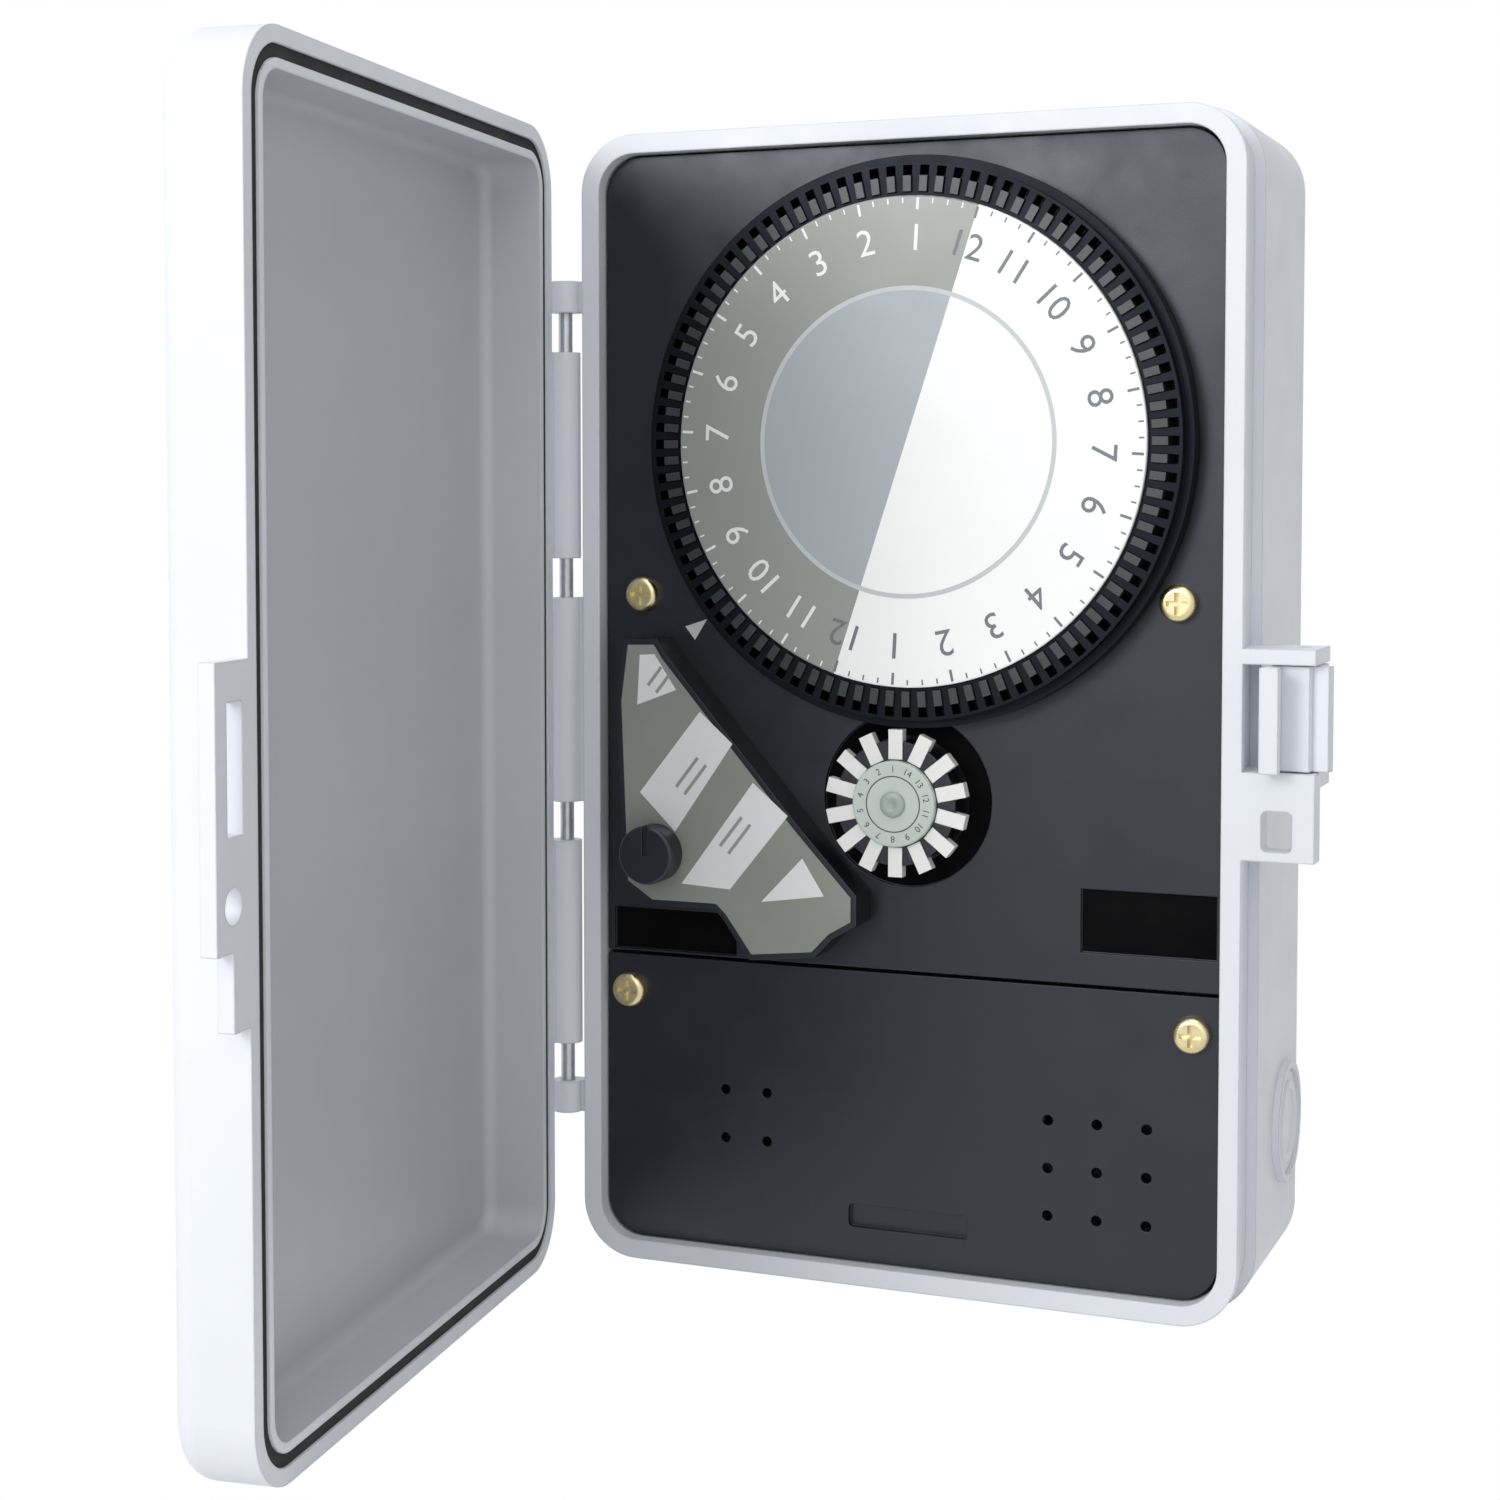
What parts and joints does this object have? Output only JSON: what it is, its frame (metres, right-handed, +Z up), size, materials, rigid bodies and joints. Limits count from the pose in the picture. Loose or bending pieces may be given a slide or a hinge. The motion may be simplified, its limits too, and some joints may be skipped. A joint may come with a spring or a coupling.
{
  "type": "irrigation controller",
  "caption": "Mechanical irrigation controller: a 24-hour dial and day wheel on a black panel in a tall plastic case with a hinged, latching door.",
  "frame": {"origin": "centre of the case's flat back face, on the wall", "axes": "+X right, -Y out of the front, +Y into the wall, +Z up"},
  "size_m": [0.1802, 0.2195, 0.243],
  "materials": {
    "enclosure_plastic": "satin moulded",
    "gasket_rubber": "matt",
    "steel": "zinc plated",
    "brass": "turned",
    "black_plastic": "satin",
    "printed_aluminium": "printed in two tones",
    "label_plastic": "printed",
    "gear_plastic": "natural acetal",
    "tripper_plastic": "satin",
    "white_plastic": "satin"
  },
  "bodies": {
    "case_assembly": {"case": "enclosure_plastic", "hinge_pin": "steel", "knockout_plug": "enclosure_plastic", "dial_plate": "black_plastic", "terminal_cover": "black_plastic", "cover_screws": "brass", "chassis_plate": "steel", "motor": "steel", "mechanism_screws": "steel", "idler_arbor": "steel", "microswitch": "black_plastic", "lever_pin": "steel", "selector_housing": "black_plastic", "selector_label": "label_plastic", "terminal_block": "black_plastic", "terminal_screws": "brass", "block_screws": "steel", "latch_pin": "steel"},
    "door": {"door": "enclosure_plastic", "door_gasket": "gasket_rubber"},
    "latch": {"latch": "enclosure_plastic"},
    "dial": {"dial_drum": "black_plastic", "dial_face": "printed_aluminium", "dial_gear": "gear_plastic", "dial_arbor": "steel", "trippers": "tripper_plastic"},
    "motor_pinion": {"motor_pinion": "brass"},
    "idler": {"idler_gear": "gear_plastic"},
    "day_wheel": {"day_wheel": "black_plastic", "day_face": "label_plastic", "day_arbor": "steel", "day_gear": "gear_plastic"},
    "selector": {"selector_knob": "black_plastic", "selector_cam": "gear_plastic"},
    "trip_lever": {"trip_lever": "black_plastic"},
    "switch_plunger": {"switch_plunger": "gear_plastic"},
    "tripper_1": {"tripper_1": "tripper_plastic"},
    "tripper_2": {"tripper_2": "tripper_plastic"},
    "tripper_3": {"tripper_3": "tripper_plastic"},
    "tripper_4": {"tripper_4": "tripper_plastic"},
    "day_tab_01": {"day_tab_01": "white_plastic"},
    "day_tab_02": {"day_tab_02": "white_plastic"},
    "day_tab_03": {"day_tab_03": "white_plastic"},
    "day_tab_04": {"day_tab_04": "white_plastic"},
    "day_tab_05": {"day_tab_05": "white_plastic"},
    "day_tab_06": {"day_tab_06": "white_plastic"},
    "day_tab_07": {"day_tab_07": "white_plastic"},
    "day_tab_08": {"day_tab_08": "white_plastic"},
    "day_tab_09": {"day_tab_09": "white_plastic"},
    "day_tab_10": {"day_tab_10": "white_plastic"},
    "day_tab_11": {"day_tab_11": "white_plastic"},
    "day_tab_12": {"day_tab_12": "white_plastic"},
    "day_tab_13": {"day_tab_13": "white_plastic"},
    "day_tab_14": {"day_tab_14": "white_plastic"}
  },
  "joints": [
    {"name": "door_hinge", "type": "hinge", "parent": "case_assembly", "child": "door", "pos_m": [-0.0759, -0.0605, 0], "axis": [0, 0, 1], "range_deg": [-92, 83]},
    {"name": "latch_pivot", "type": "hinge", "parent": "case_assembly", "child": "latch", "pos_m": [0.0815, -0.052, 0.001], "axis": [0, 0, 1], "range_deg": [0, 8]},
    {"name": "dial_spin", "type": "hinge", "parent": "case_assembly", "child": "dial", "pos_m": [0.0039, -0.06, 0.05485], "axis": [0, 1, 0], "continuous": true},
    {"name": "motor_spin", "type": "hinge", "parent": "case_assembly", "child": "motor_pinion", "pos_m": [-0.02078, -0.045, 0.08427], "axis": [0, 1, 0], "continuous": true},
    {"name": "idler_spin", "type": "hinge", "parent": "case_assembly", "child": "idler", "pos_m": [0.01271, -0.046, 0.01995], "axis": [0, 1, 0], "continuous": true},
    {"name": "day_spin", "type": "hinge", "parent": "case_assembly", "child": "day_wheel", "pos_m": [0.0015, -0.06, -0.01845], "axis": [0, 1, 0], "continuous": true},
    {"name": "selector_turn", "type": "hinge", "parent": "case_assembly", "child": "selector", "pos_m": [-0.0513, -0.064, -0.0311], "axis": [0, 1, 0], "range_deg": [0, 90]},
    {"name": "trip_lever_pivot", "type": "hinge", "parent": "case_assembly", "child": "trip_lever", "pos_m": [-0.0441, -0.0515, 0.022], "axis": [-1, 0, 0], "range_deg": [0, 4], "stiffness_Nm_per_rad": 0.02, "springref_deg": -5.73},
    {"name": "plunger_slide", "type": "slide", "parent": "case_assembly", "child": "switch_plunger", "axis": [0, -1, 0], "range_m": [0, 0.0022]},
    {"name": "tripper_1_slide", "type": "slide", "parent": "dial", "child": "tripper_1", "axis": [0, 0, 1], "range_m": [0, 0.002]},
    {"name": "tripper_2_slide", "type": "slide", "parent": "dial", "child": "tripper_2", "axis": [-0.3827, 0, 0.9239], "range_m": [0, 0.002]},
    {"name": "tripper_3_slide", "type": "slide", "parent": "dial", "child": "tripper_3", "axis": [-0.7518, 0, 0.6593], "range_m": [0, 0.002]},
    {"name": "tripper_4_slide", "type": "slide", "parent": "dial", "child": "tripper_4", "axis": [-0.9469, 0, 0.3214], "range_m": [0, 0.002]},
    {"name": "day_tab_01_slide", "type": "slide", "parent": "day_wheel", "child": "day_tab_01", "axis": [0, 0, 1], "range_m": [0, 0.0018]},
    {"name": "day_tab_02_slide", "type": "slide", "parent": "day_wheel", "child": "day_tab_02", "axis": [-0.4339, 0, 0.901], "range_m": [0, 0.0018]},
    {"name": "day_tab_03_slide", "type": "slide", "parent": "day_wheel", "child": "day_tab_03", "axis": [-0.7818, 0, 0.6235], "range_m": [0, 0.0018]},
    {"name": "day_tab_04_slide", "type": "slide", "parent": "day_wheel", "child": "day_tab_04", "axis": [-0.9749, 0, 0.2225], "range_m": [0, 0.0018]},
    {"name": "day_tab_05_slide", "type": "slide", "parent": "day_wheel", "child": "day_tab_05", "axis": [-0.9749, 0, -0.2225], "range_m": [0, 0.0018]},
    {"name": "day_tab_06_slide", "type": "slide", "parent": "day_wheel", "child": "day_tab_06", "axis": [-0.7818, 0, -0.6235], "range_m": [0, 0.0018]},
    {"name": "day_tab_07_slide", "type": "slide", "parent": "day_wheel", "child": "day_tab_07", "axis": [-0.4339, 0, -0.901], "range_m": [0, 0.0018]},
    {"name": "day_tab_08_slide", "type": "slide", "parent": "day_wheel", "child": "day_tab_08", "axis": [0, 0, -1], "range_m": [0, 0.0018]},
    {"name": "day_tab_09_slide", "type": "slide", "parent": "day_wheel", "child": "day_tab_09", "axis": [0.4339, 0, -0.901], "range_m": [0, 0.0018]},
    {"name": "day_tab_10_slide", "type": "slide", "parent": "day_wheel", "child": "day_tab_10", "axis": [0.7818, 0, -0.6235], "range_m": [0, 0.0018]},
    {"name": "day_tab_11_slide", "type": "slide", "parent": "day_wheel", "child": "day_tab_11", "axis": [0.9749, 0, -0.2225], "range_m": [0, 0.0018]},
    {"name": "day_tab_12_slide", "type": "slide", "parent": "day_wheel", "child": "day_tab_12", "axis": [0.9749, 0, 0.2225], "range_m": [0, 0.0018]},
    {"name": "day_tab_13_slide", "type": "slide", "parent": "day_wheel", "child": "day_tab_13", "axis": [0.7818, 0, 0.6235], "range_m": [0, 0.0018]},
    {"name": "day_tab_14_slide", "type": "slide", "parent": "day_wheel", "child": "day_tab_14", "axis": [0.4339, 0, 0.901], "range_m": [0, 0.0018]}
  ],
  "couplings": [
    {"joint": "motor_spin", "follows": "dial_spin", "ratio": -5},
    {"joint": "idler_spin", "follows": "dial_spin", "ratio": -0.28571},
    {"joint": "day_spin", "follows": "dial_spin", "ratio": 0.071429},
    {"joint": "plunger_slide", "follows": "trip_lever_pivot", "m_per_rad": 0.014}
  ]
}
